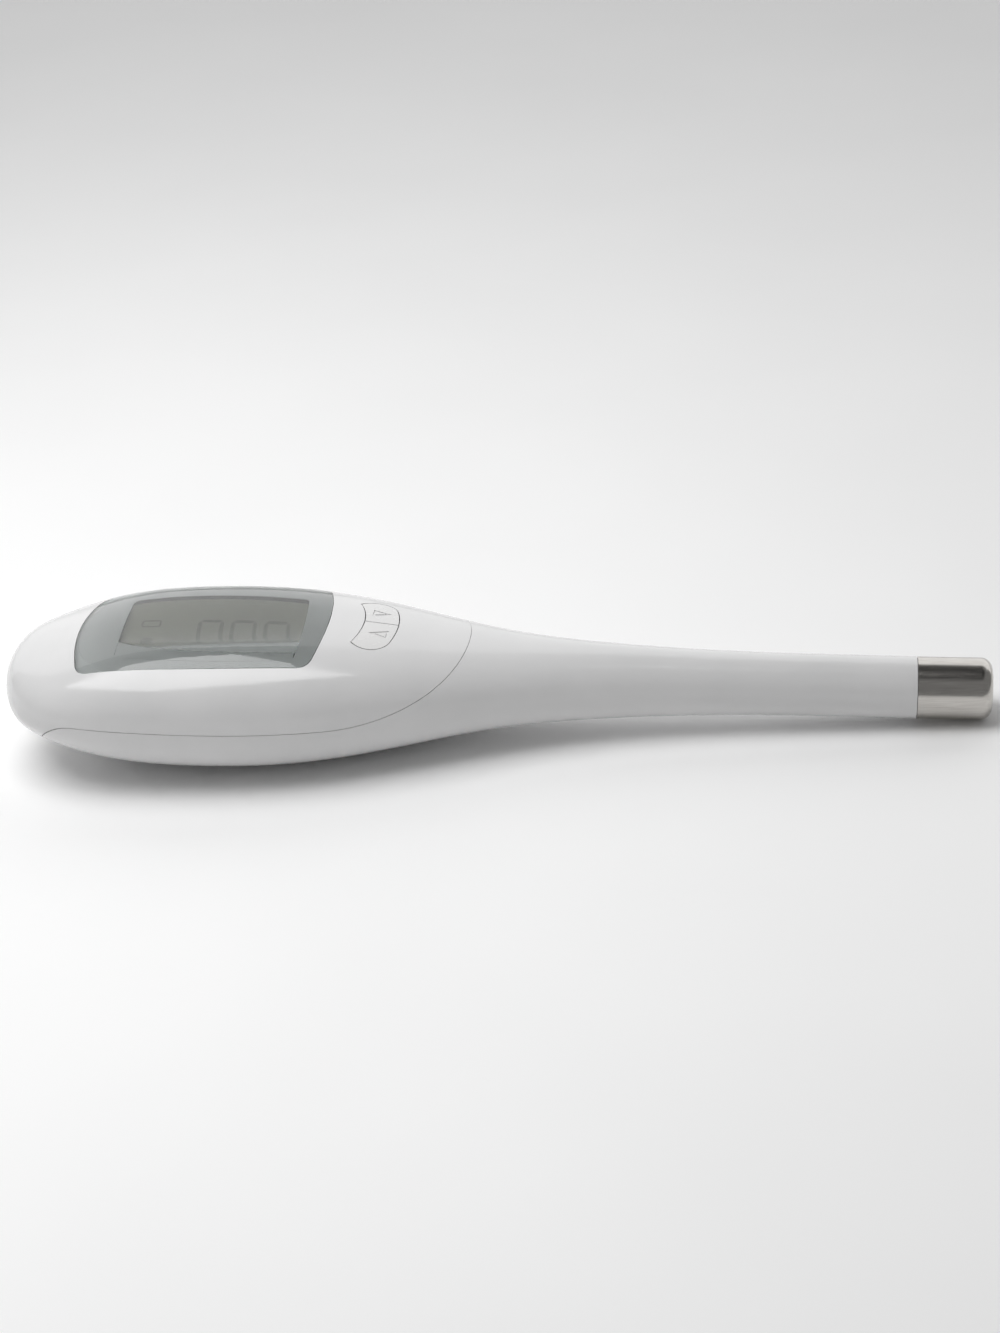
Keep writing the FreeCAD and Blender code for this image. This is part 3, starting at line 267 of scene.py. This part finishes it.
def finishes():
    """Every material by the name of the record's slot."""
    materials = {name: moulded(name, *values) for name, values in MOULDED.items()}
    for name, values in METALS.items():
        materials[name] = metallic(name, *values)
    materials["dark_foam"] = moulded("dark_foam", *FOAM_TONES, FOAM_ROUGHNESS,
                                     FOAM_GRAIN_SCALE, FOAM_GRAIN_HEIGHT)
    materials["display_film"] = matt_film("display_film", *DISPLAY_TONES)
    materials["display_glass"] = clear("display_glass", GLASS_TINT, GLASS_ROUGHNESS)
    materials["clear_lens"] = smoked_lens()
    materials["connector_rubber"] = striped_rubber()
    materials["circuit_board"] = circuit_board()
    return materials


# ---------------------------------------------------------------- CAD nodes

SHARP_ANGLE = math.radians(25.0)

# How far printed films reach into the lens, in millimetres.
PRINT_CONTACT = 0.01


def paint_nodes(materials):
    """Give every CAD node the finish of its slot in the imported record."""
    slots = {part["node"]: part["material_slot"] for part in frame["record"]["subparts"]}
    for name, piece in nodes.items():
        piece.data.materials.clear()
        piece.data.materials.append(materials[slots[name]])


def smooth_nodes():
    """Shade curved CAD faces smoothly and keep their real edges sharp."""
    for piece in nodes.values():
        piece.data.shade_smooth()
        piece.data.set_sharp_from_angle(angle=SHARP_ANGLE)


def press_border_into_lens():
    """Swell the printed border a little, so that it touches the lens's underside with no air between."""
    contact = nodes["lens_border"].modifiers.new("contact", "DISPLACE")
    contact.direction = "NORMAL"
    contact.mid_level = 0.0
    contact.strength = PRINT_CONTACT * MM


# ---------------------------------------------------------------- films over the display

# Places are in millimetres on the polariser's upper face: x along the thermometer, y across it.
# A digit's size is its width and height.
SEGMENT_WIDTH = 0.55
SEGMENT_GAP = 0.08
SEGMENT_THICKNESS = 0.005
DIGIT_FOOT = -3.4
BIG_DIGIT = (3.0, 6.2)
BIG_DIGIT_LEFTS = (-2.2, 2.3, 6.8)
SMALL_DIGIT = (1.6, 3.0)
SMALL_DIGIT_LEFTS = (-9.6, -6.9)
SMALL_LINE_RATIO = 0.6
DECIMAL_POINT = ((5.95, -3.75), (5.95, -3.05))
CELL_MARK_LOW = (-10.0, 1.6)
CELL_MARK_HIGH = (-7.6, 2.8)

# The crescent is painted reflection: pale grey print hung under the lens in place of the light reflected inside
# the thick lens along the window's near edge. Each of its edges is a curve with a start, two handles and an end.
LENS_UNDERSIDE = 0.9
PAINTED_REFLECTION_THICKNESS = 0.08
PAINTED_REFLECTION_INNER = ((-12.25, -3.8), (-8.5, -5.9), (0.0, -6.6), (11.95, -5.9))
PAINTED_REFLECTION_OUTER = ((11.95, -7.3), (4.0, -8.3), (-4.5, -8.3), (-12.25, -7.3))
CURVE_STEPS = 32


def display_plane():
    """Turn and origin of the polariser's upper face; the origin is its middle, on the mirror plane."""
    low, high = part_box("lcd_polariser")
    press = next(joint for joint in frame["joints"] if joint["name"] == "near_button_press")
    up = -Vector(press["axis"]).normalized()
    across = Vector((0.0, 1.0, 0.0))
    along = across.cross(up)
    middle = (Vector(low) + Vector(high)) / 2.0
    # The box round a sloping plate is higher than the plate is thick, by its length times its slope.
    thickness = ((high[2] - low[2]) - (high[0] - low[0]) * abs(along.z / along.x)) / up.z
    origin = Vector((middle.x, 0.0, middle.z)) + up * (thickness / 2.0)
    return Matrix((along, across, up)).transposed().to_4x4(), origin


def bar(start, end, width):
    """Clockwise outline of one segment: a bar with pointed ends."""
    start, end = Vector(start), Vector(end)
    direction = (end - start).normalized()
    side = Vector((-direction.y, direction.x)) * (width / 2.0)
    tip = direction * (width / 2.0)
    return [start, start + tip + side, end - tip + side, end, end - tip - side, start + tip - side]


def digit_bars(left, size, line):
    """Seven bars of one digit, with its left side at left and its foot on the common foot line."""
    width, height = size
    right = left + width
    low = DIGIT_FOOT
    middle = low + height / 2.0
    top = low + height
    bars = [bar((left + SEGMENT_GAP, y), (right - SEGMENT_GAP, y), line) for y in (low, middle, top)]
    for x in (left, right):
        for start, end in ((low, middle), (middle, top)):
            bars.append(bar((x, start + SEGMENT_GAP), (x, end - SEGMENT_GAP), line))
    return bars


def cell_mark_bars():
    """Four thin bars round the mark for the battery's state."""
    left, low = CELL_MARK_LOW
    right, high = CELL_MARK_HIGH
    sides = (((left, high), (right, high)), ((left, low), (right, low)),
             ((left, low), (left, high)), ((right, low), (right, high)))
    return [bar(start, end, SEGMENT_WIDTH / 2.0) for start, end in sides]


def segment_outlines():
    """Outlines of every inactive mark: three big digits, two small ones, a point and a cell."""
    outlines = []
    for left in BIG_DIGIT_LEFTS:
        outlines += digit_bars(left, BIG_DIGIT, SEGMENT_WIDTH)
    for left in SMALL_DIGIT_LEFTS:
        outlines += digit_bars(left, SMALL_DIGIT, SEGMENT_WIDTH * SMALL_LINE_RATIO)
    outlines.append(bar(*DECIMAL_POINT, SEGMENT_WIDTH))
    return outlines + cell_mark_bars()


def painted_reflection_outline():
    """Clockwise outline of the pale crescent of painted reflection along the window's near edge."""
    inner = interpolate_bezier(*PAINTED_REFLECTION_INNER, CURVE_STEPS)
    outer = interpolate_bezier(*PAINTED_REFLECTION_OUTER, CURVE_STEPS)
    return list(inner) + list(outer)


def plate(outline, low, high):
    """Corners and faces of a flat plate with a clockwise outline, between two heights."""
    count = len(outline)
    corners = [(point[0], point[1], height) for height in (high, low) for point in outline]
    upper = list(reversed(range(count)))
    lower = list(range(count, 2 * count))
    following = [(corner + 1) % count for corner in range(count)]
    sides = [[corner, after, count + after, count + corner] for corner, after in enumerate(following)]
    return corners, [upper, lower] + sides


def film_piece(name, outlines, low, high, material):
    """Thin flat plates of the given outlines, between two heights over the polariser."""
    corners, faces = [], []
    for outline in outlines:
        first = len(corners)
        plate_corners, plate_faces = plate(outline, low, high)
        corners += plate_corners
        faces += [[first + corner for corner in face] for face in plate_faces]
    mesh = bpy.data.meshes.new(name)
    mesh.from_pydata(corners, [], faces)
    turn, origin = display_plane()
    mesh.transform(Matrix.Translation(origin) @ turn @ Matrix.Scale(MM, 4))
    mesh.materials.append(material)
    piece = bpy.data.objects.new(name, mesh)
    bpy.context.scene.collection.objects.link(piece)
    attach(piece, "housing")


def add_segments():
    """Inactive segments on the polariser."""
    inactive = matt_film("segment_film", *SEGMENT_TONES)
    film_piece("lcd_segments", segment_outlines(), 0.0, SEGMENT_THICKNESS, inactive)


def add_painted_reflection(material):
    """Pale crescent against the lens's underside: grey print painted in place of the light reflected inside the
    lens.
    """
    film_piece("painted_reflection_crescent", [painted_reflection_outline()], LENS_UNDERSIDE - PAINTED_REFLECTION_THICKNESS,
               LENS_UNDERSIDE + PRINT_CONTACT, material)


# ---------------------------------------------------------------- camera

# Distances are in metres, apart from the focal length and the sensor's width in millimetres.
CAMERA_AZIMUTH = math.radians(8.15)
CAMERA_ELEVATION = math.radians(29.07)
CAMERA_ROLL = math.radians(-5.63)
CAMERA_DISTANCE = 0.3824
CAMERA_TARGET = Vector((0.00106, 0.0, 0.0098))
FOCAL_LENGTH = 75.6
SENSOR_WIDTH = 36.0
NEAREST_SEEN = 0.01
FARTHEST_SEEN = 20.0


def add_camera():
    """Camera in front of the near side, looking down; its sensor's width spans the tall side."""
    data = bpy.data.cameras.new("camera")
    data.lens = FOCAL_LENGTH
    data.sensor_width = SENSOR_WIDTH
    data.clip_start = NEAREST_SEEN
    data.clip_end = FARTHEST_SEEN
    camera = bpy.data.objects.new("camera", data)
    bpy.context.scene.collection.objects.link(camera)
    back = Vector((math.sin(CAMERA_AZIMUTH) * math.cos(CAMERA_ELEVATION),
                   -math.cos(CAMERA_AZIMUTH) * math.cos(CAMERA_ELEVATION),
                   math.sin(CAMERA_ELEVATION)))
    facing = (-back).to_track_quat("-Z", "Y").to_matrix().to_4x4()
    roll = Matrix.Rotation(CAMERA_ROLL, 4, "Z")
    camera.matrix_world = Matrix.Translation(CAMERA_TARGET + back * CAMERA_DISTANCE) @ facing @ roll
    bpy.context.scene.camera = camera


# ---------------------------------------------------------------- studio

PANEL_PLACE = (0.0, 0.85, 0.62)
PANEL_TARGET = (0.0, 0.0, 0.62)
PANEL_SIZE = (2.6, 1.2)
PANEL_POWER = 9.0
SOFTBOX_PLACE = (-0.12, -0.02, 0.32)
SOFTBOX_TARGET = (-0.09, 0.0, 0.0)
SOFTBOX_SIZE = (0.26, 0.26)
SOFTBOX_POWER = 0.95

FLOOR_REACH = 3.0
FLOOR_SCALE = 0.02
FLOOR_TONES = ((0.93, 0.93, 0.93), (0.95, 0.95, 0.95))
FLOOR_ROUGHNESS = 0.9

# The ceiling starts and is complete at these heights of a view direction of length 1.
CEILING_START = 0.80
CEILING_END = 0.93
SURROUND_TONE = (0.22, 0.22, 0.22)
CEILING_TONE = (0.03, 0.03, 0.03)


def add_light(name, place, target, size, power):
    """Rectangular white softbox aimed at a point."""
    data = bpy.data.lights.new(name, "AREA")
    data.shape = "RECTANGLE"
    data.size, data.size_y = size
    data.energy = power
    lamp = bpy.data.objects.new(name, data)
    lamp.location = place
    lamp.rotation_euler = (Vector(target) - Vector(place)).to_track_quat("-Z", "Y").to_euler()
    bpy.context.scene.collection.objects.link(lamp)


def add_floor():
    """Plain pale floor, far wider than the view."""
    mesh = bpy.data.meshes.new("floor")
    corners = [(x * FLOOR_REACH, y * FLOOR_REACH, 0.0) for x, y in ((-1, -1), (1, -1), (1, 1), (-1, 1))]
    mesh.from_pydata(corners, [], [(0, 1, 2, 3)])
    floor = bpy.data.objects.new("floor", mesh)
    bpy.context.scene.collection.objects.link(floor)
    material, tree, shader = new_material("floor_paper")
    vary_colour(tree, shader, object_noise(tree, FLOOR_SCALE), *FLOOR_TONES)
    shader.inputs["Roughness"].default_value = FLOOR_ROUGHNESS
    mesh.materials.append(material)


def add_world():
    """Even grey surround with a dark ceiling."""
    world = bpy.data.worlds.new("studio")
    world.use_nodes = True
    tree = world.node_tree
    background = tree.nodes["Background"]
    place = tree.nodes.new("ShaderNodeTexCoord")
    split = tree.nodes.new("ShaderNodeSeparateXYZ")
    ramp = colour_ramp(tree, CEILING_START, CEILING_END, SURROUND_TONE, CEILING_TONE)
    tree.links.new(place.outputs["Generated"], split.inputs["Vector"])
    tree.links.new(split.outputs["Z"], ramp.inputs["Fac"])
    tree.links.new(ramp.outputs["Color"], background.inputs["Color"])
    bpy.context.scene.world = world


def add_studio():
    """Tall bright panel behind the object, softbox above the head, and a grey surround."""
    add_world()
    add_floor()
    add_light("back_panel", PANEL_PLACE, PANEL_TARGET, PANEL_SIZE, PANEL_POWER)
    add_light("head_softbox", SOFTBOX_PLACE, SOFTBOX_TARGET, SOFTBOX_SIZE, SOFTBOX_POWER)
    bpy.context.scene.view_settings.view_transform = "Standard"


# ---------------------------------------------------------------- scene

finish_materials = finishes()
paint_nodes(finish_materials)
smooth_nodes()
press_border_into_lens()
add_segments()
# Painted reflection: pale grey print along the window's near edge stands in for light reflected inside the lens.
add_painted_reflection(finish_materials["grey_border"])
add_studio()
add_camera()
